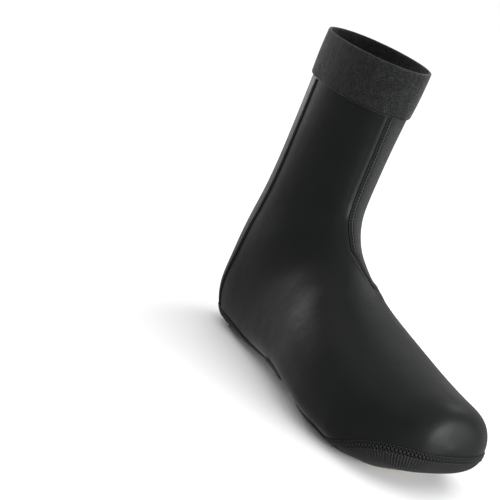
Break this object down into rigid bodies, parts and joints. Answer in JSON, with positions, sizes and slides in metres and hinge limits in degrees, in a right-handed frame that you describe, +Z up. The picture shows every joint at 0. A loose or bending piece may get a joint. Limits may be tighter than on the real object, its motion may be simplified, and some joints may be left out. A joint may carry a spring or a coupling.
{
  "type": "cycling overshoe",
  "caption": "Ankle-high neoprene cycling overshoe for the right foot, with a napped cuff, stitched ankle panel, ribbed toe sole, taped cleat and heel openings and an arch strap.",
  "frame": {"origin": "on the floor, at the middle of the cover's length and width", "axes": "+X to the toe, +Y to the inner (medial) side of this right-foot cover, +Z up"},
  "size_m": [0.29, 0.111, 0.2465],
  "materials": {
    "neoprene_skin": "matt smooth-skin neoprene",
    "stretch_panel": "brushed stretch knit",
    "cuff_fabric": "napped stretch fabric",
    "seam_thread": "matt thread",
    "sole_mesh": "coarse ribbed mesh fabric",
    "patch_weave": "coarse abrasion-proof weave",
    "binding_tape": "matt woven tape",
    "strap_web": "matt elastic web"
  },
  "bodies": {
    "root": {"upper": "neoprene_skin", "ankle_panel": "stretch_panel", "ankle_seam": "seam_thread", "rear_seam": "seam_thread", "cuff": "cuff_fabric", "toe_sole": "sole_mesh", "toe_patch": "patch_weave", "heel_sole": "sole_mesh", "cleat_binding": "binding_tape", "heel_binding": "binding_tape", "arch_strap": "strap_web"}
  },
  "joints": []
}
